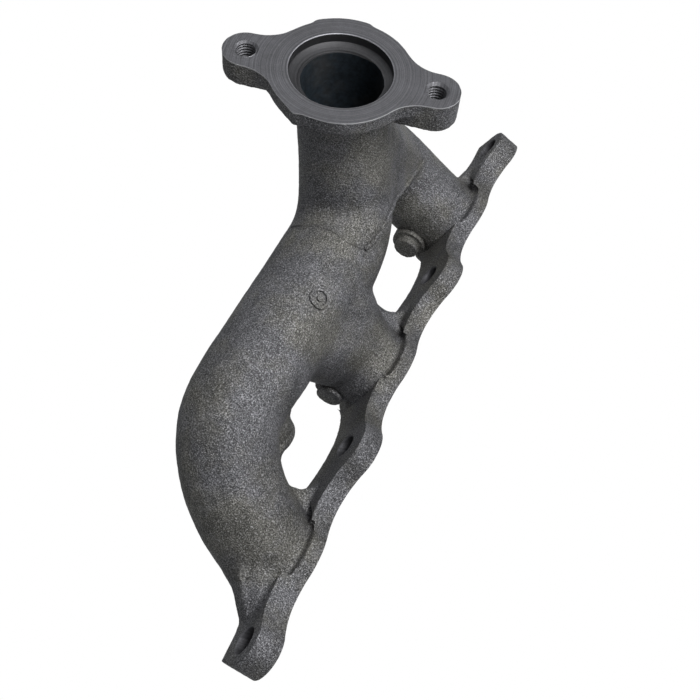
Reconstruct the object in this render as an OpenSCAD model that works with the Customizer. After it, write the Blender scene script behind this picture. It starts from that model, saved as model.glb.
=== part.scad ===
// Cast-iron exhaust manifold for one bank of a three-port cylinder head.
// Origin: centre of the middle port on the gasket face. +X runs from port 1 to port 3,
// +Y points to the side the outlet is on, +Z points away from the cylinder head.

/* [Head flange] */
// Distance between neighbouring port centres
port_pitch = 108; // [96:0.5:120]
// Gas bore through each port pad
port_bore_d = 35; // [28:0.5:38]
// Outside diameter of the round pad around each port
port_pad_d = 53; // [50:0.5:60]
// Thickness of the port pads
pad_t = 7; // [5:0.5:10]
// Thickness of the bars between the ports
bar_t = 10; // [8:0.5:14]
// Thickness of the two end lugs
lug_t = 12; // [9:0.5:16]
// Offset of the bolt line from the line of port centres
bolt_line_y = 20; // [16:0.5:24]
// Width of the round bolt bosses in the bars
bar_boss_d = 30; // [24:0.5:34]
// Bolt holes in the bars
bar_hole_d = 11; // [8.5:0.5:13]
// Lowest part of the far edge of a bar, measured from the port line
bar_far_y = 6; // [3:0.5:9]
// Inside corner radius between a pad and a boss on the near edge
near_fillet_r = 28; // [8:0.5:40]
// Distance from an end port to its end lug hole
lug_reach = 44; // [40:0.5:52]
// Outside radius of the end lugs around their holes
lug_r = 11.5; // [10:0.5:15]
// Bolt holes in the end lugs, larger for heat growth
lug_hole_d = 12; // [9:0.5:14]
// Inside corner radius on the far side of each end lug
lug_far_fillet_r = 26; // [18:0.5:34]

/* [Runners and log] */
// Outside diameter of the runners at the ports
runner_d = 44; // [40:0.5:48]
// Wall thickness of the cast tubes
wall = 4.5; // [3.5:0.25:6]
// Offset of the log axis from the port line where it meets the neck
log_y = 19; // [14:0.5:26]
// Height of the log axis above the gasket face where it meets the neck
log_z = 60; // [56:0.5:66]
// Offset of the log axis from the port line where it meets runner 3
log_low_y = 17; // [12:0.5:22]
// Height of the log axis above the gasket face where it meets runner 3
log_low_z = 64; // [56:0.5:66]
// Outside diameter of the log where it meets the neck
log_d = 50; // [46:0.5:54]
// Outside diameter of the log where it meets runner 3
log_small_d = 45; // [40:0.5:48]
// Distance from port 3 back to the start of its elbow
elbow_reach = 48; // [42:0.5:56]
// Distance from port 2 back to the joint of log and neck
log_joint_x = 20.5; // [14:0.5:26]

/* [Outlet] */
// Distance from port 2 back to the centre of the outlet
outlet_back = 58; // [52:0.5:64]
// Offset of the outlet centre from the port line
outlet_y = 85; // [80:0.5:95]
// Height of the outlet centre above the gasket face
outlet_z = 115; // [110:0.5:125]
// Tilt of the outlet from +Y towards +Z
outlet_tilt = 30; // [24:0.5:36]
// Clocking of the stud line about the outlet axis
stud_clock = 10; // [0:0.5:14]
// Thickness of the rim of the outlet flange
outlet_t = 8; // [6:0.5:10]
// Depth of the stud boss on the side away from the head
stud_boss_a_t = 12; // [10:0.5:16]
// Depth of the stud boss on the head side
stud_boss_b_t = 14.5; // [12:0.5:18]
// Diameter of the round body of the outlet flange
outlet_body_d = 64; // [60:0.5:74]
// Distance between the two stud holes
stud_spacing = 85; // [80:0.5:96]
// Radius of the outlet lugs around the stud holes
outlet_lug_r = 10.5; // [9:0.5:13]
// Tapping drill size of the stud holes (M10)
stud_tap_d = 8.5; // [6.8:0.1:10.5]
// Nominal thread size of the studs
stud_thread_d = 10; // [8:1:12]
// Outlet gas bore
outlet_bore_d = 37; // [32:0.5:40]
// Recess for the ring gasket
ring_recess_d = 46; // [42:0.5:52]
// Depth of the ring gasket recess
ring_recess_depth = 5; // [3:0.5:8]
// Inside corner radius between outlet body and lug
outlet_fillet_r = 18; // [10:0.5:26]
// How far the cast pad stands out from the round body
cast_pad_h = 1.3; // [0.5:0.1:3]

/* [Cast details] */
// Diameter of the cut-off feeder stubs behind runners 1 and 2
stub_d = 13; // [9:0.5:16]
// Diameter of the rough collar behind each feeder stub
stub_collar_d = 18; // [14:0.5:22]
// Diameter of the cut-off feeder on the far side of the log
feeder_d = 26; // [14:0.5:30]
// Thickness of the web that braces each end lug
rib_t = 9; // [6:0.5:12]
// Outside diameter of the raised casting mark on the log
mark_d = 10; // [8:0.5:18]
// Height of the joint-line bead above the surface
bead_h = 1.2; // [0.6:0.1:2.5]

/* [Hidden] */
$fn = 64;
ring_fn = 40;
steps = 9;
sweep_ref = [0, cos(30), -sin(30)];
outlet_r = outlet_body_d / 2;
pad_r = port_pad_d / 2;
boss_r = bar_boss_d / 2;
runner_r = runner_d / 2;
cast_pad_from = -22;
cast_pad_to = 6;
bead_below = 6;
stud_chamfer = (stud_thread_d + 1 - stud_tap_d) / 2;
web_y = 9;
web_reach = 9;
lug_far_extra = 1.5;
upper_web_h = 4;
lower_web_h = 14;
stub_y = -8;
stub_z = 18;
stub_1_reach = 6;
stub_2_reach = 1.5;
stub_nose = 4;
feeder_ahead = 3;
feeder_tilt = 30;
feeder_reach = 11;
mark_x = 13.5;
mark_z = 61;
mark_h = 0.8;
port_x = [-port_pitch, 0, port_pitch];
outlet_c = [-outlet_back, outlet_y, outlet_z];
outlet_n = [0, cos(outlet_tilt), sin(outlet_tilt)];
outlet_w = [0, sin(outlet_tilt), -cos(outlet_tilt)];
iron = [0.33, 0.33, 0.34];
machined = [0.55, 0.55, 0.56];
neck_r = log_d / 2;
neck_end_r = 21;
elbow_r = log_small_d / 2;
log_a = [-log_joint_x, log_y, log_z];
log_b = [port_pitch - elbow_reach, log_low_y, log_low_z];
log_len = norm(log_b - log_a);
log_dir = (log_b - log_a) / log_len;
far_y = (bar_far_y * bar_far_y - pow(port_pitch / 2, 2) + 2 * pad_r * bar_far_y + pad_r * pad_r)
    / (2 * (bar_far_y + pad_r));
far_r = bar_far_y - far_y;
lug_x = [-port_pitch - lug_reach, port_pitch + lug_reach];
neck_route = [
    outlet_c - outlet_t * outlet_n + 1.1 * outlet_w,
    outlet_c - 61 * outlet_n + 5.8 * outlet_w,
    log_a - 30 * log_dir,
    log_a
];
runner_1_route = [
    [-port_pitch, 0, pad_t],
    [-port_pitch, 0, pad_t + 44],
    [-port_pitch - 2, 16, log_z + 22],
    [-outlet_back - 2, log_y + 14, log_z + 20]
];
runner_2_route = [
    [0, 0, pad_t],
    [0, 0, pad_t + 24],
    [-3, log_y - 8, log_z - 24],
    [-8, log_y + 1, log_z]
];
runner_3_route = [
    log_b,
    log_b + 38 * log_dir,
    [port_pitch, 0, pad_t + 10],
    [port_pitch, 0, pad_t]
];

// Point and direction on a cubic curve through four control points
function on_curve(p, t) =
    pow(1 - t, 3) * p[0] + 3 * pow(1 - t, 2) * t * p[1] + 3 * (1 - t) * t * t * p[2] + pow(t, 3) * p[3];
function along_curve(p, t) =
    pow(1 - t, 2) * (p[1] - p[0]) + 2 * (1 - t) * t * (p[2] - p[1]) + t * t * (p[3] - p[2]);

// Corner where an inside arc of radius r touches two circles
function arc_corner(a, ra, b, rb, r, side) =
    let (
        d = norm(b - a),
        u = (b - a) / d,
        x = (pow(ra + r, 2) - pow(rb + r, 2) + d * d) / (2 * d),
        y = side * sqrt(pow(ra + r, 2) - x * x)
    )
    a + x * u + y * [-u[1], u[0]];

// Ring of points with centre c, normal d and radius r
function ring(c, d, r) =
    let (
        side = cross(d, sweep_ref),
        u = side / norm(side),
        v = cross(u, d) / norm(d)
    )
    [for (k = [0:ring_fn - 1]) c + r * (cos(360 * k / ring_fn) * u + sin(360 * k / ring_fn) * v)];

// Rings along a curve from radius ra to rb, both ends moved outwards by over,
// the first ring square to the direction d0
function rings(p, d0, ra, rb, over) = [
    for (i = [0:steps])
        let (
            t = i / steps,
            d = i == 0 ? d0 : along_curve(p, t),
            push = (i == 0 ? -over : 0) + (i == steps ? over : 0)
        )
        ring(on_curve(p, t) + push * d / norm(d), d, ra + (rb - ra) * t)
];

// Closed solid through a list of rings
module loft(list) {
    last = len(list) - 1;
    polyhedron(
        points = [for (one = list) for (q = one) q],
        faces = concat(
            [[for (k = [ring_fn - 1:-1:0]) k]],
            [[for (k = [0:ring_fn - 1]) last * ring_fn + k]],
            [
                for (i = [0:last - 1]) for (k = [0:ring_fn - 1]) for (half = [0, 1])
                    let (
                        a = i * ring_fn + k,
                        b = i * ring_fn + (k + 1) % ring_fn
                    )
                    half == 0 ? [a, b, b + ring_fn] : [a, b + ring_fn, a + ring_fn]
            ]
        ),
        convexity = 6
    );
}

function log_rings(grow, over) = [
    ring(log_a - over * log_dir, log_dir, neck_r + grow),
    ring(log_b + over * log_dir, log_dir, elbow_r + grow)
];

module main_outer(grow) {
    neck = rings(neck_route, -outlet_n, neck_end_r + grow, neck_r + grow, 0);
    elbow = rings(runner_3_route, log_dir, elbow_r + grow, runner_r + grow, 0);
    loft(concat(neck, elbow));
}

module runner_1_outer(grow) {
    loft(rings(runner_1_route, [0, 0, 1], runner_r + grow, runner_r - 1.5 + grow, 0));
}

module runner_2_outer() {
    loft(rings(runner_2_route, [0, 0, 1], runner_r, runner_r, 0));
}

module runner_1_passage() {
    loft(rings(runner_1_route, [0, 0, 1], port_bore_d / 2, runner_r - wall - 1.5, 0.5));
}

module runner_2_passage() {
    loft(rings(runner_2_route, [0, 0, 1], port_bore_d / 2, runner_r - wall, 0.5));
}

// Web of height h between two round ends, with an inside arc on one side
module arc_web(a, ra, b, rb, r, side, h) {
    c = arc_corner(a, ra, b, rb, r, side);
    across = side * 3 * [b[1] - a[1], a[0] - b[0]] / norm(b - a);
    difference() {
        linear_extrude(h)
            polygon([a, (a + b) / 2 + across, b, c]);
        translate([c[0], c[1], -1])
            cylinder(h = h + 2, r = r);
    }
}

module pad(k) {
    color(iron)
        difference() {
            translate([port_x[k], 0, 0])
                cylinder(h = pad_t, r = pad_r);
            translate([port_x[k], 0, -1])
                cylinder(h = pad_t + 2, r = port_bore_d / 2);
        }
}

module port_1_pad() {
    pad(0);
}

module port_2_pad() {
    pad(1);
}

module port_3_pad() {
    pad(2);
}

module bar(k) {
    a = [port_x[k], 0];
    b = [port_x[k + 1], 0];
    m = [(a[0] + b[0]) / 2, bolt_line_y];
    color(iron)
        difference() {
            union() {
                translate(m)
                    cylinder(h = bar_t, r = boss_r);
                arc_web(a, pad_r, m, boss_r, near_fillet_r, 1, bar_t);
                arc_web(m, boss_r, b, pad_r, near_fillet_r, 1, bar_t);
                linear_extrude(bar_t)
                    polygon([a, m, b, [m[0], far_y]]);
            }
            translate([m[0], far_y, -1])
                cylinder(h = bar_t + 2, r = far_r);
            for (p = [a, b]) {
                translate([p[0], p[1], -1])
                    cylinder(h = bar_t + 2, r = pad_r);
            }
            translate([m[0], m[1], -1])
                cylinder(h = bar_t + 2, d = bar_hole_d);
        }
}

module bar_1_2() {
    bar(0);
}

module bar_2_3() {
    bar(1);
}

module end_lug(x, px, s) {
    c = [x, bolt_line_y];
    p = [px, 0];
    color(iron)
        difference() {
            union() {
                translate(c)
                    cylinder(h = lug_t, r = lug_r);
                linear_extrude(lug_t)
                    polygon([
                        p, c, c + [s * lug_r, 0], c + [s * lug_r * 0.8, -lug_r - lug_far_extra],
                        c + [0, -lug_r - lug_far_extra]
                    ]);
                arc_web(p, pad_r, c, lug_r, near_fillet_r, s, lug_t);
                arc_web(p, pad_r, c, lug_r, lug_far_fillet_r, -s, lug_t);
            }
            translate([px, 0, -1])
                cylinder(h = lug_t + 2, r = pad_r);
            translate([x, bolt_line_y, -1])
                cylinder(h = lug_t + 2, d = lug_hole_d);
        }
}

module upper_lug() {
    end_lug(lug_x[0], port_x[0], -1);
}

module lower_lug() {
    end_lug(lug_x[1], port_x[2], 1);
}

module runner_1() {
    color(iron)
        difference() {
            runner_1_outer(0);
            main_outer(0);
            runner_1_passage();
        }
}

module runner_2() {
    color(iron)
        difference() {
            runner_2_outer();
            main_outer(0);
            runner_2_passage();
        }
}

module runner_3() {
    color(iron)
        difference() {
            loft(rings(runner_3_route, log_dir, elbow_r, runner_r, 0));
            loft(rings(runner_3_route, log_dir, elbow_r - wall, port_bore_d / 2, 0.5));
        }
}

module log() {
    color(iron)
        difference() {
            loft(log_rings(0, 0));
            loft(log_rings(-wall, 0.5));
            runner_2_passage();
        }
}

module outlet_neck() {
    color(iron)
        difference() {
            loft(rings(neck_route, -outlet_n, neck_end_r, neck_r, 0));
            loft(rings(neck_route, -outlet_n, outlet_bore_d / 2, neck_r - wall, 0.5));
            runner_1_passage();
        }
}

// Local frame of the outlet: face at z = 0, stud line along x
module at_outlet() {
    translate(outlet_c)
        rotate([outlet_tilt - 90, 0, 0])
            rotate([0, 0, 90 + stud_clock])
                children();
}

module outlet_rim() {
    cylinder(h = outlet_t, r = outlet_r);
    for (s = [-1, 1]) {
        translate([s * stud_spacing / 2, 0, 0])
            cylinder(h = outlet_t, r = outlet_lug_r);
        for (side = [-1, 1]) {
            arc_web([0, 0], outlet_r, [s * stud_spacing / 2, 0], outlet_lug_r, outlet_fillet_r, side, outlet_t);
        }
    }
    intersection() {
        cylinder(h = outlet_t, r = outlet_r + cast_pad_h);
        linear_extrude(outlet_t)
            polygon([[0, 0], [cast_pad_from * 2, outlet_r * 2], [cast_pad_to * 2, outlet_r * 2]]);
    }
    linear_extrude(outlet_t)
        polygon([[0, 0], [-outlet_r * 0.38, -outlet_r], [-outlet_r * 0.72, -outlet_r * 0.7]]);
}

// Deeper boss under one stud hole
module stud_boss(s, t) {
    translate([0, 0, -t])
        difference() {
            union() {
                translate([s * stud_spacing / 2, 0, 0])
                    cylinder(h = t, r = outlet_lug_r);
                linear_extrude(t)
                    polygon([
                        [s * stud_spacing / 2, outlet_lug_r], [s * outlet_r * 0.8, outlet_lug_r],
                        [s * outlet_r * 0.8, -outlet_lug_r], [s * stud_spacing / 2, -outlet_lug_r]
                    ]);
            }
            translate([0, 0, -1])
                cylinder(h = t + 2, r = neck_end_r + 4);
        }
}

module outlet_flange() {
    color(machined)
        at_outlet()
            difference() {
                union() {
                    translate([0, 0, -outlet_t])
                        outlet_rim();
                    stud_boss(-1, stud_boss_a_t);
                    stud_boss(1, stud_boss_b_t);
                }
                translate([0, 0, -outlet_t - 1])
                    cylinder(h = outlet_t + 2, d = outlet_bore_d);
                translate([0, 0, -ring_recess_depth])
                    cylinder(h = ring_recess_depth + 1, d = ring_recess_d);
                for (s = [-1, 1]) {
                    translate([s * stud_spacing / 2, 0, -stud_boss_b_t - 1])
                        cylinder(h = stud_boss_b_t + 2, d = stud_tap_d);
                    translate([s * stud_spacing / 2, 0, -stud_chamfer])
                        cylinder(h = stud_chamfer + 0.01, d1 = stud_tap_d, d2 = stud_tap_d + 2 * stud_chamfer);
                }
            }
}

// Sloping brace from the side of a runner down to an end lug
module lug_web(px, s, h) {
    translate([px, web_y + rib_t / 2, 0])
        rotate([90, 0, 0])
            linear_extrude(rib_t)
                polygon([
                    [s * (runner_r - 4), lug_t], [s * (pad_r + web_reach), lug_t],
                    [s * (runner_r - 2), lug_t + h], [s * (runner_r - 4), lug_t + h]
                ]);
}

module upper_lug_web() {
    color(iron)
        difference() {
            lug_web(port_x[0], -1, upper_web_h);
            runner_1_outer(0);
        }
}

module lower_lug_web() {
    color(iron)
        difference() {
            lug_web(port_x[2], 1, lower_web_h);
            main_outer(0);
        }
}

// Cut-off feeder on the side of a runner that faces port 3
module feeder_stub(px, reach) {
    translate([px + runner_r - 8, stub_y, stub_z])
        rotate([0, 90, 0]) {
            cylinder(h = 8 + reach, d = stub_d);
            cylinder(h = 8 + reach - stub_nose, d = stub_collar_d);
        }
}

module feeder_stub_1() {
    color(iron)
        difference() {
            feeder_stub(port_x[0], stub_1_reach);
            runner_1_outer(0);
        }
}

module feeder_stub_2() {
    color(iron)
        difference() {
            feeder_stub(port_x[1], stub_2_reach);
            runner_2_outer();
        }
}

module log_feeder() {
    color(iron)
        difference() {
            translate(log_b + feeder_ahead * log_dir)
                rotate([180 - feeder_tilt, 0, 0])
                    translate([0, 0, elbow_r - 6])
                        cylinder(h = feeder_reach + 6, d1 = feeder_d, d2 = feeder_d - 3);
            main_outer(0);
        }
}

// Plain raised ring and dot left by the mould number plug
module cast_mark() {
    color(iron)
        difference() {
            intersection() {
                loft(log_rings(mark_h, 0));
                translate([mark_x, log_y, mark_z])
                    rotate([-90, 0, 0])
                        difference() {
                            cylinder(h = log_d, d = mark_d);
                            difference() {
                                translate([0, 0, -1])
                                    cylinder(h = log_d + 2, d = mark_d - 3);
                                translate([0, 0, -2])
                                    cylinder(h = log_d + 4, d = 3);
                            }
                        }
            }
            loft(log_rings(0, 1));
        }
}

module neck_joint_bead() {
    color(iron)
        difference() {
            intersection() {
                loft([
                    ring(log_a - 0.8 * log_dir, log_dir, neck_r + bead_h),
                    ring(log_a + 0.8 * log_dir, log_dir, neck_r + bead_h)
                ]);
                translate([-log_joint_x - 50, log_y + 6, log_z - bead_below])
                    cube([100, 60, 60]);
            }
            main_outer(0);
        }
}

module runner_joint_bead() {
    color(iron)
        difference() {
            intersection() {
                main_outer(bead_h);
                runner_1_outer(bead_h);
                translate([-port_pitch, 28, 0])
                    cube([port_pitch, 60, 130]);
            }
            main_outer(0);
            runner_1_outer(0);
        }
}

port_1_pad();
port_2_pad();
port_3_pad();
bar_1_2();
bar_2_3();
upper_lug();
lower_lug();
runner_1();
runner_2();
runner_3();
log();
outlet_neck();
outlet_flange();
upper_lug_web();
lower_lug_web();
feeder_stub_1();
feeder_stub_2();
log_feeder();
cast_mark();
neck_joint_bead();
runner_joint_bead();
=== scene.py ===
import math

import bpy
from mathutils import Euler, Matrix, Vector


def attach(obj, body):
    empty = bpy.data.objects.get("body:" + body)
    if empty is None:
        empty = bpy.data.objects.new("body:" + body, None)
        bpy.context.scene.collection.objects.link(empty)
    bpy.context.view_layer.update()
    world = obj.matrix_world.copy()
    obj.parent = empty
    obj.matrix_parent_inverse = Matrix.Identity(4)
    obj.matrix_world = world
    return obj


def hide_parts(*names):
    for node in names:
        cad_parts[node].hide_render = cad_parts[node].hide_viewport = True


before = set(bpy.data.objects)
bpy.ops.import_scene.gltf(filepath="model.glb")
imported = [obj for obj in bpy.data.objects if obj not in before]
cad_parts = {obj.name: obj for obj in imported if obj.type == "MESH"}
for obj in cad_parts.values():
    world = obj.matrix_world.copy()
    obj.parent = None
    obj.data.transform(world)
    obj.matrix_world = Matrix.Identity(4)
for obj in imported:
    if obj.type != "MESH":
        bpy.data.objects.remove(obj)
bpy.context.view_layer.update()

bl_info = {
    "name": "Exhaust manifold",
    "version": (1, 0, 0),
    "blender": (4, 5, 0),
    "location": "3D View > Sidebar > Manifold",
    "description": "Builds a cast-iron exhaust manifold with machined faces around its packed frame",
    "category": "Object",
}

MM = 0.001

# Fineness of the meshes
DOUBLES = 0.01 * MM
TUBE_SIDES, TUBE_STEPS = 10, 20
SHORTEST_LEAD = 3 * MM


def mm(x, y, z):
    """Point given in millimetres, as a vector in metres."""
    return Vector((x, y, z)) * MM


# Places and radii that the casting is built around, as in the part's source
PORT_PITCH = 108
PORT_X = (-PORT_PITCH, 0, PORT_PITCH)
PAD_T, BAR_T, LUG_T = 7, 10, 12
BOLT_LINE_Y = 20
LUG_REACH = 44
OUTLET_TILT = math.radians(30)
OUTLET_C = mm(-58, 85, 115)
OUTLET_N = Vector((0, math.cos(OUTLET_TILT), math.sin(OUTLET_TILT)))
OUTLET_W = Vector((0, math.sin(OUTLET_TILT), -math.cos(OUTLET_TILT)))
STUD_CLOCK = math.radians(10)
STUD_SPACING = 85
THREAD_CREST_R, THREAD_ROOT_R, THREAD_PITCH = 4.25, 4.95, 1.5
OUTLET_T, STUD_BOSS_A_T, STUD_BOSS_B_T = 8, 12, 14.5
RUNNER_R, NECK_R, NECK_END_R, ELBOW_R, WALL = 22, 25, 21, 22.5, 4.5
RUNNER_1_END_R = RUNNER_R - 1.5
PORT_BORE_R, OUTLET_BORE_R = 17.5, 18.5
# Metal on the machined faces before they are cut, and how far the tubes run into the plates
STOCK = 4
INTO_PLATE = 9 * MM
# Discs that close the holes of the cast shape until they are cut again
PLUG_EXTRA, OUTLET_PLUG_R, STUD_PLUG_R = 1.5, 24.5, 7
# Skin of the passages: mesh size, height and size of the grain
PASSAGE_VOXEL, PASSAGE_HEIGHT, PASSAGE_GRAIN = 1.3 * MM, 0.5 * MM, 4 * MM
LOG_A = mm(-20.5, 19, 60)
LOG_B = mm(60, 17, 64)
LOG_DIR = (LOG_B - LOG_A).normalized()

NECK_ROUTE = (
    OUTLET_C + (1.1 * OUTLET_W - OUTLET_T * OUTLET_N) * MM,
    OUTLET_C + (5.8 * OUTLET_W - 61 * OUTLET_N) * MM,
    LOG_A - 30 * MM * LOG_DIR,
    LOG_A,
)
ELBOW_ROUTE = (
    LOG_B,
    LOG_B + 38 * MM * LOG_DIR,
    mm(PORT_PITCH, 0, PAD_T + 10),
    mm(PORT_PITCH, 0, PAD_T),
)
RUNNER_1_ROUTE = (
    mm(-PORT_PITCH, 0, PAD_T),
    mm(-PORT_PITCH, 0, PAD_T + 44),
    mm(-PORT_PITCH - 2, 16, 82),
    mm(-60, 33, 80),
)
RUNNER_2_ROUTE = (
    mm(0, 0, PAD_T),
    mm(0, 0, PAD_T + 24),
    mm(-3, 11, 36),
    mm(-8, 20, 60),
)

# Web between neck and runner 1: places along both routes that it is drawn over,
# and balls under its lower edge, centre and radius
WEB_ON_NECK, WEB_ON_RUNNER = (0.18, 0.3, 0.5), (0.52, 0.75)
WEB_EDGE = ((mm(-50, 40, 57), 5), (mm(-104, 23, 46.5), 4))
# Ramps from the end tubes down to the lugs: high and low end with their radii
LUG_RAMPS = (
    (mm(118, 4, 20), 13, mm(136, 12.5, 4), 8),
    (mm(-122, 5, 10), 8, mm(-133, 11, 5.5), 7),
)
# Boxes round the window ends that have larger radii, with their share of the window radius
WINDOW_ENDS = (
    (1.0, mm(-16, -60, 24), mm(52, 70, 64)),
    (1.4, mm(-46, -30, -2), mm(-14, 14, 52)),
    (1.0, mm(60, -20, -2), mm(104, 12, 50)),
)
# Balls of the web between the log and runner 2
LOG_WEB = ((mm(22, 18, 62), 21.5), (mm(0, 2, 26), 21.5))
# Joint lines on the skin: along the lower edge of neck and web, and round the end of the log
RUNNER_LINE = (
    mm(-22.5, 43.1, 53.9), mm(-33.4, 42.8, 51.5), mm(-41.8, 43.9, 51.5), mm(-50.4, 44.3, 52.3),
    mm(-68.9, 38.3, 49.5), mm(-87.3, 32.4, 46.6), mm(-105.8, 26.4, 43.8), mm(-113, 25, 44.8),
)
NECK_LINE = (
    mm(-21.8, 22.3, 84.5), mm(-20.5, 33.7, 79.9), mm(-21, 39.3, 74), mm(-20, 42.9, 66.2),
    mm(-20.2, 43.7, 60.7), mm(-21.5, 43.5, 57), mm(-22.5, 43.1, 54.4),
)

# Camera place, axes and focal length, and the point the lamps aim at
CAMERA_PLACE = mm(240.9, 386.8, 158.4)
CAMERA_RIGHT = Vector((-0.3980, 0.5160, -0.7585))
CAMERA_DOWN = Vector((0.7638, -0.2717, -0.5855))
CAMERA_AHEAD = Vector((-0.5082, -0.8124, -0.2860))
CAMERA_LENS = 48.857
LAMP_AIM = mm(-20, 30, 60)

# Turns local +Z to the outlet axis and local +X to the stud line
OUTLET_TURN = (
    Euler((OUTLET_TILT - math.pi / 2, 0, 0)).to_matrix()
    @ Euler((0, 0, math.pi / 2 + STUD_CLOCK)).to_matrix()
)


def outlet_point(x, y, z):
    """Point given in millimetres in the outlet's own frame, with the face at z = 0."""
    return OUTLET_C + OUTLET_TURN @ mm(x, y, z)


# ---------------------------------------------------------------- sizes and colours


class ManifoldCasting(bpy.types.PropertyGroup):
    """Sizes of the cast surface."""

    voxel: bpy.props.FloatProperty(
        name="Mesh size", description="Edge length of the casting's faces",
        default=0.9 * MM, min=0.7 * MM, max=3 * MM, unit="LENGTH", precision=5)
    fillet: bpy.props.FloatProperty(
        name="Inside radius", description="Radius cast into every inside corner",
        default=2.4 * MM, min=0.5 * MM, max=5 * MM, unit="LENGTH", precision=5)
    corner_fillet: bpy.props.FloatProperty(
        name="Window radius", description="Radius cast into the corners of the two windows",
        default=8 * MM, min=2 * MM, max=14 * MM, unit="LENGTH", precision=5)
    web_inset: bpy.props.FloatProperty(
        name="Web inset", description="Depth of the web between neck and runner 1 below both tubes",
        default=0.5 * MM, min=0, max=4 * MM, unit="LENGTH", precision=5)
    rounding: bpy.props.IntProperty(
        name="Edge rounding", description="Smoothing passes over the sand-cast edges",
        default=2, min=0, max=20)
    waviness: bpy.props.FloatProperty(
        name="Waviness", description="Height of the slow unevenness of the cast skin",
        default=0.5 * MM, min=0, max=2 * MM, unit="LENGTH", precision=5)
    pitting: bpy.props.FloatProperty(
        name="Pitting", description="Height of the coarse sand grain that is modelled",
        default=0.22 * MM, min=0, max=1 * MM, unit="LENGTH", precision=5)


class ManifoldFinish(bpy.types.PropertyGroup):
    """Colours of the iron."""

    iron: bpy.props.FloatVectorProperty(
        name="Iron", description="Main colour of the cast skin", subtype="COLOR",
        default=(0.060, 0.060, 0.064), min=0, max=1)
    scale: bpy.props.FloatVectorProperty(
        name="Brown scale", description="Colour of the warmer patches", subtype="COLOR",
        default=(0.066, 0.064, 0.057), min=0, max=1)
    # Painted glints: light-grey specks in the base colour stand in for sparkle on the iron's grain
    painted_glint: bpy.props.FloatVectorProperty(
        name="Glints", description="Colour of the blasted high spots", subtype="COLOR",
        default=(0.22, 0.22, 0.225), min=0, max=1)
    machined: bpy.props.FloatVectorProperty(
        name="Machined iron", description="Colour of the turned and milled faces", subtype="COLOR",
        default=(0.066, 0.066, 0.071), min=0, max=1)
    soot: bpy.props.FloatVectorProperty(
        name="Passage", description="Colour inside the gas passages", subtype="COLOR",
        default=(0.006, 0.009, 0.012), min=0, max=1)


class ManifoldStage(bpy.types.PropertyGroup):
    """Light and floor."""

    key: bpy.props.FloatProperty(
        name="Key light", description="Power of the large soft light", default=22, min=0, unit="POWER")
    fill: bpy.props.FloatProperty(
        name="Fill", description="Strength of the light from all round", default=0.39, min=0, max=2)
    floor: bpy.props.FloatVectorProperty(
        name="Floor", description="Colour of the floor", subtype="COLOR",
        default=(0.85, 0.85, 0.85), min=0, max=1)


# ---------------------------------------------------------------- modelling helpers


def take(*pieces):
    """Only these objects are selected, the first of them active."""
    if bpy.context.object is not None and bpy.context.object.mode != "OBJECT":
        bpy.ops.object.mode_set(mode="OBJECT")
    bpy.ops.object.select_all(action="DESELECT")
    for piece in pieces:
        piece.select_set(True)
    bpy.context.view_layer.objects.active = pieces[0] if pieces else None


def settle(piece, name):
    """Names a piece and puts its place into its mesh."""
    take(piece)
    bpy.ops.object.transform_apply(location=True, rotation=True, scale=True)
    piece.name = piece.data.name = name
    return piece


def refine(piece, kind, **settings):
    """Adds one modifier and applies it."""
    take(piece)
    bpy.ops.object.modifier_add(type=kind)
    step = piece.modifiers[-1]
    for key, value in settings.items():
        setattr(step, key, value)
    bpy.ops.object.modifier_apply(modifier=step.name)
    return piece


def close_up(piece):
    """Merges doubles and turns all faces outwards."""
    take(piece)
    bpy.ops.object.mode_set(mode="EDIT")
    bpy.ops.mesh.select_all(action="SELECT")
    bpy.ops.mesh.remove_doubles(threshold=DOUBLES)
    bpy.ops.mesh.normals_make_consistent(inside=False)
    bpy.ops.object.mode_set(mode="OBJECT")
    return piece


def tube(name, stations, material):
    """Round tube through stations of centre, handle before, handle after and radius."""
    take()
    bpy.ops.curve.primitive_bezier_curve_add(location=(0, 0, 0))
    line = bpy.context.object
    line.data.dimensions = "3D"
    line.data.bevel_depth = 1
    line.data.bevel_resolution = TUBE_SIDES
    line.data.resolution_u = TUBE_STEPS
    line.data.use_fill_caps = True
    spline = line.data.splines[0]
    spline.bezier_points.add(len(stations) - 2)
    for knot, (centre, before, after, radius) in zip(spline.bezier_points, stations):
        knot.handle_left_type = knot.handle_right_type = "FREE"
        knot.co, knot.handle_left, knot.handle_right, knot.radius = centre, before, after, radius * MM
    take(line)
    bpy.ops.object.convert(target="MESH")
    piece = bpy.context.object
    piece.data.materials.clear()
    piece.data.materials.append(material)
    return close_up(settle(piece, name))


def straight(centre, radius, towards, reach=5 * MM):
    """Station whose handles lie along one direction."""
    step = towards.normalized() * reach
    return centre, centre - step, centre + step, radius


def route_stations(route, ra, rb, lead=0.0, trail=0.0):
    """Stations of one cubic route, lengthened in a straight line at either end."""
    start, leave, arrive, end = route
    out = (start - leave).normalized()
    on = (end - arrive).normalized()
    stations = []
    if lead:
        stations.append(straight(start + out * lead, ra, -out, lead / 3))
    stations.append((start, start + out * max(lead, SHORTEST_LEAD) / 3, leave, ra))
    stations.append((end, arrive, end + on * max(trail, SHORTEST_LEAD) / 3, rb))
    if trail:
        stations.append(straight(end + on * trail, rb, on, trail / 3))
    return stations


def on_route(route, t):
    """Point of a cubic route."""
    a, b, c, d = route
    return a * (1 - t) ** 3 + b * 3 * (1 - t) ** 2 * t + c * 3 * (1 - t) * t ** 2 + d * t ** 3


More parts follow.
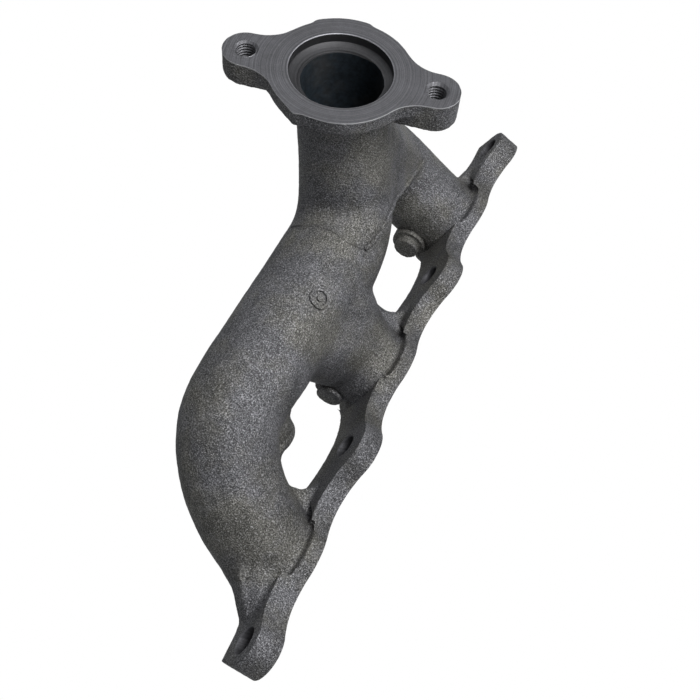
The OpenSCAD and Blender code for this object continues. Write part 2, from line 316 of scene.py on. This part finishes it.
def hull(name, balls, material):
    """Skin drawn tight over balls of centre and radius."""
    pieces = []
    for centre, radius in balls:
        bpy.ops.mesh.primitive_ico_sphere_add(subdivisions=4, radius=radius * MM, location=centre)
        pieces.append(bpy.context.object)
    piece = joined(pieces, name)
    bpy.ops.object.mode_set(mode="EDIT")
    bpy.ops.mesh.select_all(action="SELECT")
    bpy.ops.mesh.convex_hull()
    bpy.ops.object.mode_set(mode="OBJECT")
    piece.data.materials.append(material)
    return close_up(settle(piece, name))


def turned(name, centre, turn, profile, material, sides=64):
    """Solid turned about an axis: a disc extruded and resized through (radius, height) pairs."""
    take()
    radius, height = profile[0]
    axis = turn @ Vector((0, 0, 1))
    at = centre + axis * height * MM
    bpy.ops.mesh.primitive_circle_add(
        vertices=sides, radius=radius * MM, fill_type="NGON", enter_editmode=True,
        location=at, rotation=turn.to_euler())
    for next_radius, next_height in profile[1:]:
        at = centre + axis * next_height * MM
        bpy.ops.mesh.extrude_region_move(
            TRANSFORM_OT_translate={"value": axis * (next_height - height) * MM})
        bpy.ops.transform.resize(value=[next_radius / radius] * 3, center_override=at)
        radius, height = next_radius, next_height
    bpy.ops.object.mode_set(mode="OBJECT")
    piece = bpy.context.object
    piece.data.materials.append(material)
    return close_up(settle(piece, name))


UPRIGHT = Matrix.Identity(3)


def block(name, low, high, material, turn=UPRIGHT, centre=Vector()):
    """Box between two corners, turned about a centre."""
    take()
    middle = (Vector(low) + Vector(high)) / 2
    bpy.ops.mesh.primitive_cube_add(
        size=1, location=centre + turn @ middle, rotation=turn.to_euler(),
        scale=Vector(high) - Vector(low))
    piece = bpy.context.object
    piece.data.materials.append(material)
    return settle(piece, name)


def from_frame(node, material):
    """Closed copy of a frame node's mesh."""
    piece = bpy.data.objects.new(node + "_copy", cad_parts[node].data.copy())
    bpy.context.scene.collection.objects.link(piece)
    piece.data.materials.clear()
    piece.data.materials.append(material)
    return close_up(piece)


def lengthen(piece, point, normal, by):
    """Moves the flat face through a point outwards, along its normal."""
    take(piece)
    bpy.ops.object.mode_set(mode="EDIT")
    bpy.ops.mesh.select_all(action="DESELECT")
    bpy.ops.object.mode_set(mode="OBJECT")
    for vertex in piece.data.vertices:
        vertex.select = abs((vertex.co - point).dot(normal)) < 0.05 * MM
    bpy.ops.object.mode_set(mode="EDIT")
    bpy.ops.transform.translate(value=normal * by)
    bpy.ops.object.mode_set(mode="OBJECT")
    return piece


def copy_of(piece, name):
    """Second piece with its own mesh."""
    copy = bpy.data.objects.new(name, piece.data.copy())
    copy.data.name = name
    bpy.context.scene.collection.objects.link(copy)
    return copy


def joined(pieces, name):
    take(*pieces)
    bpy.ops.object.join()
    piece = bpy.context.object
    piece.name = piece.data.name = name
    return piece


def cut(body, tool, operation="DIFFERENCE", keep_tool=False):
    """Boolean of a body and a closed tool; new faces take the tool's material."""
    refine(body, "BOOLEAN", object=tool, operation=operation, solver="MANIFOLD", material_mode="TRANSFER")
    if not keep_tool:
        bpy.data.objects.remove(tool)
    if not body.data.polygons:
        raise RuntimeError(f"cutting {body.name} left nothing")
    return body


def roughen(piece, height, size, depth=2):
    """Moves the surface in and out by a cloud pattern."""
    grain = bpy.data.textures.new(piece.name + "_grain", "CLOUDS")
    grain.noise_scale = size
    grain.noise_depth = depth
    grain.noise_basis = "BLENDER_ORIGINAL"
    refine(piece, "DISPLACE", texture=grain, strength=height, mid_level=0.5, texture_coords="LOCAL")
    bpy.data.textures.remove(grain)
    return piece


def cast_over(piece, radius, voxel):
    """Fills inside corners to a radius: out by the radius, one skin, and back in."""
    refine(piece, "REMESH", mode="VOXEL", voxel_size=voxel)
    refine(piece, "DISPLACE", strength=radius, mid_level=0)
    refine(piece, "REMESH", mode="VOXEL", voxel_size=voxel)
    refine(piece, "SMOOTH", factor=0.5, iterations=2)
    refine(piece, "DISPLACE", strength=-radius, mid_level=0)
    return piece


def soften(piece, angle=32):
    take(piece)
    bpy.ops.object.shade_smooth_by_angle(angle=math.radians(angle))
    return piece


# ---------------------------------------------------------------- materials


def shader(name):
    """New material; gives its tree, a maker of nodes and the principled shader."""
    material = bpy.data.materials.new(name)
    material.use_nodes = True
    tree = material.node_tree
    principled = tree.nodes["Principled BSDF"]

    def add(kind, settings=None, **inputs):
        made = tree.nodes.new(kind)
        for key, value in (settings or {}).items():
            setattr(made, key, value)
        for key, value in inputs.items():
            socket = made.inputs[int(key[1:])] if key[0] == "i" and key[1:].isdigit() else made.inputs[key]
            if isinstance(value, bpy.types.NodeSocket):
                tree.links.new(value, socket)
            else:
                socket.default_value = value
        return made

    return material, tree, add, principled


def ramp(add, value, *stops):
    made = add("ShaderNodeValToRGB", Fac=value)
    bar = made.color_ramp
    while len(bar.elements) < len(stops):
        bar.elements.new(0.5)
    for element, (place, colour) in zip(bar.elements, stops):
        element.position = place
        element.color = (*colour, 1) if hasattr(colour, "__len__") else (colour, colour, colour, 1)
    return made.outputs["Color"]


def blend(add, factor, a, b, kind="MIX"):
    made = add("ShaderNodeMix", {"data_type": "RGBA", "blend_type": kind})
    tree = made.id_data
    for socket, value in ((made.inputs[0], factor), (made.inputs[6], a), (made.inputs[7], b)):
        if isinstance(value, bpy.types.NodeSocket):
            tree.links.new(value, socket)
        elif hasattr(value, "__len__"):
            socket.default_value = (*value, 1) if len(value) == 3 else value
        else:
            socket.default_value = value
    return made.outputs[2]


def cast_iron(name, finish, highlight_point=None, highlight_normal=None):
    """Sand-cast, shot-blasted iron with painted glints on its grain; a painted highlight band brightens the
    cast wall where a cut face ends.
    """
    material, tree, add, principled = shader(name)
    place = add("ShaderNodeTexCoord").outputs["Object"]
    grain = add("ShaderNodeTexNoise", Vector=place, Scale=1700, Detail=3, Roughness=0.7)
    coarse = add("ShaderNodeTexNoise", Vector=place, Scale=520, Detail=2, Roughness=0.6)
    patches = add("ShaderNodeTexNoise", Vector=place, Scale=30, Detail=5, Roughness=0.62)
    clouds = add("ShaderNodeTexNoise", Vector=place, Scale=75, Detail=3, Roughness=0.55)
    warm = ramp(add, patches.outputs["Fac"], (0.44, 0.0), (0.60, 1.0))
    body = blend(add, warm, tuple(finish.iron), tuple(finish.scale))
    mottle = ramp(add, clouds.outputs["Fac"], (0.32, 0.66), (0.68, 1.22))
    body = blend(add, 1.0, body, mottle, "MULTIPLY")
    speckle = ramp(add, grain.outputs["Fac"], (0.36, 0.20), (0.50, 0.88), (0.62, 2.2))
    body = blend(add, 1.0, body, speckle, "MULTIPLY")
    # Painted glints: light-grey specks mixed into the base colour on the grain's peaks
    high = ramp(add, grain.outputs["Fac"], (0.58, 0.0), (0.68, 1.0))
    body = blend(add, high, body, tuple(finish.painted_glint))
    # Painted highlight: a light-grey band on the cast wall just behind the cut face stands in for the glint
    # of its edge
    if highlight_point is not None:
        away = add("ShaderNodeVectorMath", {"operation": "SUBTRACT"}, i0=place, i1=highlight_point)
        depth = add("ShaderNodeVectorMath", {"operation": "DOT_PRODUCT"}, i0=away.outputs[0], i1=highlight_normal)
        wobble = add("ShaderNodeMath", {"operation": "MULTIPLY_ADD"}, i0=clouds.outputs["Fac"], i1=0.0009,
                     i2=depth.outputs["Value"])
        painted_highlight_band = add("ShaderNodeMapRange", i0=wobble.outputs[0], i1=-0.0003, i2=0.0001, i3=0.0, i4=0.8)
        body = blend(add, painted_highlight_band.outputs[0], body, (0.42, 0.42, 0.43))
    tree.links.new(body, principled.inputs["Base Color"])
    rough = ramp(add, grain.outputs["Fac"], (0.35, 0.75), (0.70, 0.42))
    tree.links.new(rough, principled.inputs["Roughness"])
    principled.inputs["Metallic"].default_value = 0.5
    relief = add("ShaderNodeMath", {"operation": "MULTIPLY_ADD"}, i0=coarse.outputs["Fac"], i1=0.8,
                 i2=grain.outputs["Fac"])
    bump = add("ShaderNodeBump", Strength=0.75, Distance=0.0005, Height=relief.outputs[0])
    tree.links.new(bump.outputs["Normal"], principled.inputs["Normal"])
    return material


def machined_iron(name, finish, centre, turn, pitch=1400.0, tone=1.0):
    """Turned or milled iron: tool marks run in rings about a centre."""
    material, tree, add, principled = shader(name)
    place = add("ShaderNodeTexCoord").outputs["Object"]
    local = add("ShaderNodeMapping", {"vector_type": "TEXTURE"}, Vector=place, Location=centre,
                Rotation=turn.to_euler())
    flat = add("ShaderNodeVectorMath", {"operation": "MULTIPLY"}, i0=local.outputs[0], i1=(1, 1, 0))
    radius = add("ShaderNodeVectorMath", {"operation": "LENGTH"}, i0=flat.outputs[0])
    along = add("ShaderNodeMath", {"operation": "MULTIPLY"}, i0=radius.outputs["Value"], i1=pitch)
    rings = add("ShaderNodeTexNoise", {"noise_dimensions": "1D"}, W=along.outputs[0], Scale=1, Detail=3,
                Roughness=0.6)
    stains = add("ShaderNodeTexNoise", Vector=place, Scale=90, Detail=6, Roughness=0.66)
    grain = add("ShaderNodeTexNoise", Vector=place, Scale=1500, Detail=2, Roughness=0.6)
    # tone scales the ring colours: the ring seat's low tone paints shade, the recess edge's high tone paints
    # a highlight
    lines = ramp(add, rings.outputs["Fac"], (0.30, 0.66 * tone), (0.70, 1.34 * tone))
    body = blend(add, 1.0, tuple(finish.machined), lines, "MULTIPLY")
    worn = ramp(add, stains.outputs["Fac"], (0.30, 0.78), (0.62, 1.08))
    body = blend(add, 1.0, body, worn, "MULTIPLY")
    fine = ramp(add, grain.outputs["Fac"], (0.35, 0.88), (0.65, 1.12))
    body = blend(add, 1.0, body, fine, "MULTIPLY")
    tree.links.new(body, principled.inputs["Base Color"])
    rough = ramp(add, stains.outputs["Fac"], (0.30, 0.62), (0.70, 0.46))
    tree.links.new(rough, principled.inputs["Roughness"])
    principled.inputs["Metallic"].default_value = 0.6
    bump = add("ShaderNodeBump", Strength=0.35, Distance=0.0002, Height=rings.outputs["Fac"])
    tree.links.new(bump.outputs["Normal"], principled.inputs["Normal"])
    return material


def dark_passage_skin(name, finish):
    """Near-black skin inside the gas passages and holes."""
    material, tree, add, principled = shader(name)
    place = add("ShaderNodeTexCoord").outputs["Object"]
    skin = add("ShaderNodeTexNoise", Vector=place, Scale=420, Detail=4, Roughness=0.65)
    streaks = add("ShaderNodeTexNoise", Vector=place, Scale=60, Detail=3, Roughness=0.5)
    tone = ramp(add, skin.outputs["Fac"], (0.35, 0.6), (0.68, 1.7))
    body = blend(add, 1.0, tuple(finish.soot), tone, "MULTIPLY")
    body = blend(add, ramp(add, streaks.outputs["Fac"], (0.5, 0.0), (0.75, 0.35)), body, (0.05, 0.045, 0.04))
    tree.links.new(body, principled.inputs["Base Color"])
    principled.inputs["Roughness"].default_value = 0.72
    principled.inputs["Specular IOR Level"].default_value = 0.2
    principled.inputs["Metallic"].default_value = 0.2
    bump = add("ShaderNodeBump", Strength=0.6, Distance=0.0004, Height=skin.outputs["Fac"])
    tree.links.new(bump.outputs["Normal"], principled.inputs["Normal"])
    return material


work = {}


# ---------------------------------------------------------------- operators


class MANIFOLD_OT_finishes(bpy.types.Operator):
    """Makes the cast, machined and passage finishes"""

    bl_idname = "manifold.finishes"
    bl_label = "Finishes"

    def execute(self, context):
        finish = context.scene.manifold_finish
        work["cast"] = cast_iron("cast_iron_skin", finish)
        # Cast iron with a painted highlight band along the outlet face's edge
        work["cast_outlet"] = cast_iron("cast_iron_outlet_painted_highlight", finish, OUTLET_C, OUTLET_N)
        work["turned"] = machined_iron("turned_outlet_face", finish, OUTLET_C, OUTLET_TURN)
        # Painted shade: the ring seat gets a darker copy of the turned face's colour
        work["seat"] = machined_iron("turned_ring_seat", finish, OUTLET_C, OUTLET_TURN, tone=0.32)
        # Painted highlight: the recess edge chamfer gets a brighter copy of the turned face's colour
        work["edge"] = machined_iron("turned_edge_painted_highlight", finish, OUTLET_C, OUTLET_TURN, tone=2.6)
        work["milled"] = machined_iron("milled_gasket_face", finish, mm(0, -420, 0), UPRIGHT, 1500.0)
        work["drilled"] = machined_iron("drilled_hole", finish, OUTLET_C, OUTLET_TURN, 900.0)
        work["soot"] = dark_passage_skin("passage_skin", finish)
        return {"FINISHED"}


def tube_set(material):
    """The outer tubes of the casting."""
    neck = route_stations(NECK_ROUTE, NECK_END_R, NECK_R, lead=5 * MM)
    elbow = route_stations(ELBOW_ROUTE, ELBOW_R, RUNNER_R, trail=INTO_PLATE)
    return [
        tube("main_tube", neck + elbow, material),
        tube("runner_1_tube", route_stations(
            RUNNER_1_ROUTE, RUNNER_R, RUNNER_1_END_R, lead=INTO_PLATE), material),
        tube("runner_2_tube", route_stations(
            RUNNER_2_ROUTE, RUNNER_R, RUNNER_R, lead=INTO_PLATE), material),
    ]


PLATES = ("port_1_pad", "port_2_pad", "port_3_pad", "bar_1_2", "bar_2_3", "upper_lug", "lower_lug")


class MANIFOLD_OT_casting(bpy.types.Operator):
    """Moulds the outside of the casting as one skin with its inside radii"""

    bl_idname = "manifold.casting"
    bl_label = "Casting"

    def execute(self, context):
        size = context.scene.manifold_casting
        cast = work["cast"]
        down = Vector((0, 0, -1))
        plates = [
            lengthen(from_frame(node, cast), Vector(), down, STOCK * MM)
            for node in PLATES
        ]
        for centre, radius, top in bolt_holes():
            wide = radius + PLUG_EXTRA
            plates.append(turned("plug", centre, UPRIGHT, ((wide, -STOCK), (wide, top)), cast))
        plates = joined(plates, "head_flange_plates")

        parts = tube_set(cast)
        parts.append(hull("neck_web", [
            (on_route(route, t), (ra + (rb - ra) * t - size.web_inset / MM))
            for route, ra, rb, places in (
                (NECK_ROUTE, NECK_END_R, NECK_R, WEB_ON_NECK),
                (RUNNER_1_ROUTE, RUNNER_R, RUNNER_1_END_R, WEB_ON_RUNNER),
            ) for t in places] + list(WEB_EDGE), cast))
        parts.append(hull("log_web", LOG_WEB, cast))
        parts.append(lengthen(from_frame("outlet_flange", cast), OUTLET_C, OUTLET_N, STOCK * MM))
        parts += [from_frame(node, cast) for node in ("upper_lug_web", "lower_lug_web", "log_feeder")]
        parts.append(turned("outlet_plug", OUTLET_C, OUTLET_TURN, (
            (OUTLET_PLUG_R, -OUTLET_T), (OUTLET_PLUG_R, STOCK)), cast))
        for centre, boss in stud_holes():
            parts.append(turned("stud_plug", centre, OUTLET_TURN, (
                (STUD_PLUG_R, -boss), (STUD_PLUG_R, STOCK)), cast))
        for high, high_r, low, low_r in LUG_RAMPS:
            parts.append(tube("lug_ramp", [
                straight(high, high_r, low - high), straight(low, low_r, low - high)], cast))
        skin = joined(parts, "manifold_skin")

        corners = []
        for share, low, high in WINDOW_ENDS:
            fill = joined([copy_of(skin, "corner_fill"), copy_of(plates, "corner_plates")], "corner_fill")
            cast_over(fill, size.corner_fillet * share, 1.8 * MM)
            refine(fill, "SMOOTH", factor=0.5, iterations=4)
            corners.append(cut(fill, block("corner_box", low, high, cast), "INTERSECT"))

        cast_over(skin, size.fillet, size.voxel)
        skin = joined([skin, plates] + corners, "manifold_skin")
        refine(skin, "REMESH", mode="VOXEL", voxel_size=size.voxel)
        refine(skin, "SMOOTH", factor=0.5, iterations=size.rounding)
        roughen(skin, size.waviness, 16 * MM)
        roughen(skin, size.pitting, 2.2 * MM, 3)
        skin.data.materials.clear()
        skin.data.materials.append(cast)
        work["skin"] = skin
        return {"FINISHED"}


def stud_holes():
    """Centre and boss thickness of each stud hole in the outlet."""
    for side, boss in ((-1, STUD_BOSS_A_T), (1, STUD_BOSS_B_T)):
        yield outlet_point(side * STUD_SPACING / 2, 0, 0), boss


def bolt_holes():
    """Centre, radius and plate thickness of each bolt hole to the head."""
    for x in (PORT_X[0] / 2, PORT_X[2] / 2):
        yield mm(x, BOLT_LINE_Y, 0), 5.5, BAR_T
    for x in (PORT_X[0] - LUG_REACH, PORT_X[2] + LUG_REACH):
        yield mm(x, BOLT_LINE_Y, 0), 6.0, LUG_T


class MANIFOLD_OT_machining(bpy.types.Operator):
    """Opens the gas passages and cuts the gasket face, the outlet face and the holes"""

    bl_idname = "manifold.machining"
    bl_label = "Passages and machined faces"

    def execute(self, context):
        skin = work["skin"]
        soot, milled, turned_face, drilled = work["soot"], work["milled"], work["turned"], work["drilled"]
        cut(skin, block("below_gasket_face", mm(-200, -100, -30), mm(200, 150, 0), milled))
        cut(skin, block("beyond_outlet_face", mm(-80, -80, 0), mm(80, 80, 40), turned_face,
                        OUTLET_TURN, OUTLET_C))
        neck = route_stations(NECK_ROUTE, OUTLET_BORE_R, NECK_R - WALL, lead=12 * MM)
        elbow = route_stations(ELBOW_ROUTE, ELBOW_R - WALL, PORT_BORE_R, trail=2 * MM)
        ways = [
            tube("main_passage", neck + elbow, soot),
            tube("runner_1_passage", route_stations(
                RUNNER_1_ROUTE, PORT_BORE_R, RUNNER_1_END_R - WALL, lead=2 * MM), soot),
            tube("runner_2_passage", route_stations(
                RUNNER_2_ROUTE, PORT_BORE_R, RUNNER_R - WALL, lead=2 * MM), soot),
        ]
        for way in ways:
            refine(way, "REMESH", mode="VOXEL", voxel_size=PASSAGE_VOXEL)
            roughen(way, PASSAGE_HEIGHT, PASSAGE_GRAIN, 3)
            cut(skin, way)
        for x in PORT_X:
            cut(skin, turned("port_bore", mm(x, 0, 0), UPRIGHT, (
                (PORT_BORE_R, PAD_T - 1.0), (PORT_BORE_R, 0.3), (PORT_BORE_R + 0.3, 0),
                (PORT_BORE_R + 2, -2)), drilled, 96))
        # The ring seat takes the darker copy of the turned material: painted shade in the recess
        cut(skin, turned("ring_seat", OUTLET_C, OUTLET_TURN, (
            (OUTLET_BORE_R, -6.4), (OUTLET_BORE_R + 0.5, -5.7), (22.4, -4.9), (23, -4.3), (23, 2)),
            work["seat"], 128))
        # The recess edge chamfer takes the brighter copy of the turned material: a painted highlight
        cut(skin, turned("recess_edge", OUTLET_C, OUTLET_TURN, (
            (22.6, -0.7), (23.3, 0), (25.3, 2)), work["edge"], 128))
        for centre, boss in stud_holes():
            steps = [(THREAD_CREST_R, -boss - 3.0)]
            height = -boss - 2.0
            while height < -1.6:
                steps += [
                    (THREAD_CREST_R, height), (THREAD_ROOT_R, height + 0.55),
                    (THREAD_ROOT_R, height + 0.7), (THREAD_CREST_R, height + 1.25),
                ]
                height += THREAD_PITCH
            steps += [(THREAD_CREST_R, -1.2), (5.45, 0), (6.5, 1.05)]
            cut(skin, turned("stud_thread", centre, OUTLET_TURN, steps, drilled, 40))
        for centre, radius, top in bolt_holes():
            cut(skin, turned("bolt_hole", centre, UPRIGHT, (
                (radius + 2.3, -2), (radius + 0.3, 0), (radius, 0.3), (radius, top - 0.6),
                (radius + 0.5, top), (radius + 0.8, top + 6)), drilled))
        return {"FINISHED"}


# Box of the outlet section in the outlet's own frame
OUTLET_SECTION = (mm(-80, -80, -18), mm(80, 80, 20))
# Name of each section, the nodes it stands for and its box in millimetres
SECTIONS = (
    ("outlet_flange_casting", ("outlet_flange",), None),
    ("upper_end_casting", ("port_1_pad", "upper_lug", "upper_lug_web"), ((-200, -80, -5), (-84, 80, 13.5))),
    ("bar_1_2_casting", ("bar_1_2",), ((-84, -80, -5), (-24, 80, 13.5))),
    ("port_2_casting", ("port_2_pad",), ((-24, -80, -5), (24, 80, 13.5))),
    ("bar_2_3_casting", ("bar_2_3",), ((24, -80, -5), (84, 80, 13.5))),
    ("lower_end_casting", ("port_3_pad", "lower_lug"), ((84, -80, -5), (200, 80, 13.5))),
    ("runner_2_casting", ("runner_2",), ((-40, -80, 13.5), (40, 80, 36))),
    ("runner_3_casting", ("runner_3", "lower_lug_web", "log_feeder"), ((60, -80, 13.5), (200, 80, 120))),
    ("log_casting", ("log",), ((-19, -80, 13.5), (60, 80, 120))),
    ("runner_1_casting", ("runner_1",), ((-200, -80, 13.5), (-84, 80, 130))),
)


class MANIFOLD_OT_sections(bpy.types.Operator):
    """Divides the casting into its named sections"""

    bl_idname = "manifold.sections"
    bl_label = "Sections"

    def execute(self, context):
        skin = work["skin"]
        for name, nodes, corners in SECTIONS:
            if corners is None:
                tool = block("outlet_part", *OUTLET_SECTION, work["cast"], OUTLET_TURN, OUTLET_C)
            else:
                tool = block("section", mm(*corners[0]), mm(*corners[1]), work["cast"])
            part = copy_of(skin, name)
            cut(part, tool, "INTERSECT", keep_tool=True)
            cut(skin, tool)
            self.hand_over(part, nodes)
        skin.name = skin.data.name = "outlet_neck_casting"
        self.hand_over(skin, ("outlet_neck",))
        return {"FINISHED"}

    def hand_over(self, part, nodes):
        # The outlet flange takes the cast iron with the painted edge highlight
        if part.name == "outlet_flange_casting":
            for slot in part.material_slots:
                if slot.material == work["cast"]:
                    slot.material = work["cast_outlet"]
        soften(part)
        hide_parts(*nodes)
        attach(part, "root")


class MANIFOLD_OT_flash(bpy.types.Operator):
    """Raises the ragged joint-line flash between neck, runner 1 and log"""

    bl_idname = "manifold.flash"
    bl_label = "Joint-line flash"

    def execute(self, context):
        self.line("runner_joint_flash", RUNNER_LINE, 1.25 * MM, 1.5 * MM, "runner_joint_bead")
        self.line("neck_joint_flash", NECK_LINE, 0.6 * MM, 0.8 * MM, "neck_joint_bead")
        return {"FINISHED"}

    def line(self, name, points, radius, roughness, node):
        """Thin rough bead that follows the cast skin through some points."""
        take()
        bpy.ops.curve.primitive_bezier_curve_add(location=(0, 0, 0))
        path = bpy.context.object
        path.data.dimensions = "3D"
        path.data.resolution_u = 16
        spline = path.data.splines[0]
        spline.bezier_points.add(len(points) - 2)
        for knot, point in zip(spline.bezier_points, points):
            knot.co = point
            knot.handle_left_type = knot.handle_right_type = "AUTO"
        take(path)
        bpy.ops.object.convert(target="MESH")
        piece = bpy.context.object
        refine(piece, "SHRINKWRAP", target=work["skin"], wrap_method="NEAREST_SURFACEPOINT")
        take(piece)
        bpy.ops.object.convert(target="CURVE")
        piece = bpy.context.object
        piece.data.bevel_depth = radius
        piece.data.bevel_resolution = 3
        piece.data.use_fill_caps = True
        bpy.ops.object.convert(target="MESH")
        piece = close_up(settle(bpy.context.object, name))
        piece.data.materials.clear()
        piece.data.materials.append(work["cast"])
        refine(piece, "REMESH", mode="VOXEL", voxel_size=0.35 * MM)
        roughen(piece, roughness, 1.8 * MM, 3)
        soften(piece)
        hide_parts(node)
        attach(piece, "root")


class MANIFOLD_OT_stubs(bpy.types.Operator):
    """Shapes the cut-off feeder stubs and the casting mark"""

    bl_idname = "manifold.stubs"
    bl_label = "Feeder stubs and mark"

    def execute(self, context):
        cast = work["cast"]
        for node, voxel in (("feeder_stub_1", 0.5), ("feeder_stub_2", 0.5), ("cast_mark", 0.3)):
            piece = from_frame(node, cast)
            refine(piece, "REMESH", mode="VOXEL", voxel_size=voxel * MM)
            refine(piece, "SMOOTH", factor=0.5, iterations=2)
            refine(piece, "DISPLACE", strength=0.2 * MM, mid_level=0)
            roughen(piece, 0.5 * MM * voxel, 1.4 * MM, 3)
            soften(piece)
            piece.name = piece.data.name = node + "_casting"
            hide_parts(node)
            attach(piece, "root")
        return {"FINISHED"}


class MANIFOLD_OT_stage(bpy.types.Operator):
    """Sets the camera, the soft lights and the pale floor"""

    bl_idname = "manifold.stage"
    bl_label = "Stage"

    def execute(self, context):
        stage = context.scene.manifold_stage
        take()
        bpy.ops.object.camera_add(location=CAMERA_PLACE)
        camera = context.object
        turn = Matrix((CAMERA_RIGHT, -CAMERA_DOWN, -CAMERA_AHEAD)).transposed()
        camera.matrix_world = Matrix.Translation(camera.location) @ turn.to_4x4()
        camera.data.lens = CAMERA_LENS
        camera.data.sensor_width = 36
        camera.data.clip_start = 0.01
        context.scene.camera = camera

        self.lamp("key", mm(0, 890, 80), LAMP_AIM, 0.5, stage.key, (0.99, 0.99, 1))
        self.lamp("top", mm(-350, 250, 900), LAMP_AIM, 0.7, stage.key * 0.08, (0.95, 0.97, 1))

        bpy.ops.mesh.primitive_plane_add(size=6, location=(0, 0, -0.0004))
        floor = context.object
        floor.name = floor.data.name = "floor"
        material, tree, add, principled = shader("pale_floor")
        principled.inputs["Base Color"].default_value = (*stage.floor, 1)
        principled.inputs["Roughness"].default_value = 0.9
        seen = add("ShaderNodeLightPath").outputs["Is Camera Ray"]
        glow = add("ShaderNodeEmission", Color=(1, 1, 1, 1), Strength=1.0)
        mixed = add("ShaderNodeMixShader", i0=seen, i1=principled.outputs[0], i2=glow.outputs[0])
        tree.links.new(mixed.outputs[0], tree.nodes["Material Output"].inputs["Surface"])
        floor.data.materials.append(material)
        settle(floor, "floor")

        world = bpy.data.worlds.new("studio")
        context.scene.world = world
        world.use_nodes = True
        tree = world.node_tree
        tree.nodes.clear()
        path = tree.nodes.new("ShaderNodeLightPath")
        soft = tree.nodes.new("ShaderNodeBackground")
        soft.inputs["Color"].default_value = (0.96, 0.98, 1, 1)
        soft.inputs["Strength"].default_value = stage.fill
        white = tree.nodes.new("ShaderNodeBackground")
        white.inputs["Strength"].default_value = 1.0
        white.inputs["Color"].default_value = (1, 1, 1, 1)
        mix = tree.nodes.new("ShaderNodeMixShader")
        out = tree.nodes.new("ShaderNodeOutputWorld")
        tree.links.new(path.outputs["Is Camera Ray"], mix.inputs[0])
        tree.links.new(soft.outputs[0], mix.inputs[1])
        tree.links.new(white.outputs[0], mix.inputs[2])
        tree.links.new(mix.outputs[0], out.inputs["Surface"])
        context.scene.view_settings.view_transform = "Standard"
        return {"FINISHED"}

    def lamp(self, name, place, aim, size, power, colour):
        take()
        bpy.ops.object.light_add(type="AREA", location=place)
        lamp = bpy.context.object
        lamp.name = name
        lamp.rotation_euler = (aim - place).to_track_quat("-Z", "Y").to_euler()
        lamp.data.size = size
        lamp.data.energy = power
        lamp.data.color = colour


class MANIFOLD_PT_panel(bpy.types.Panel):
    """Lists the steps that build the manifold"""

    bl_label = "Manifold"
    bl_idname = "MANIFOLD_PT_panel"
    bl_space_type = "VIEW_3D"
    bl_region_type = "UI"
    bl_category = "Manifold"

    def draw(self, context):
        for group in ("manifold_casting", "manifold_finish", "manifold_stage"):
            settings = getattr(context.scene, group)
            for key in settings.bl_rna.properties.keys():
                if key not in ("rna_type", "name"):
                    self.layout.prop(settings, key)
        for step in STEPS:
            self.layout.operator(step.bl_idname)


STEPS = (
    MANIFOLD_OT_stage, MANIFOLD_OT_finishes, MANIFOLD_OT_casting, MANIFOLD_OT_flash, MANIFOLD_OT_machining,
    MANIFOLD_OT_sections, MANIFOLD_OT_stubs,
)
GROUPS = {
    "manifold_casting": ManifoldCasting,
    "manifold_finish": ManifoldFinish,
    "manifold_stage": ManifoldStage,
}


def register():
    for kind in (*GROUPS.values(), *STEPS, MANIFOLD_PT_panel):
        bpy.utils.register_class(kind)
    for key, kind in GROUPS.items():
        setattr(bpy.types.Scene, key, bpy.props.PointerProperty(type=kind))


def unregister():
    for key in GROUPS:
        delattr(bpy.types.Scene, key)
    for kind in reversed((*GROUPS.values(), *STEPS, MANIFOLD_PT_panel)):
        bpy.utils.unregister_class(kind)


def main():
    register()
    for step in STEPS:
        group, action = step.bl_idname.split(".")
        getattr(getattr(bpy.ops, group), action)()


if __name__ == "__main__":
    main()
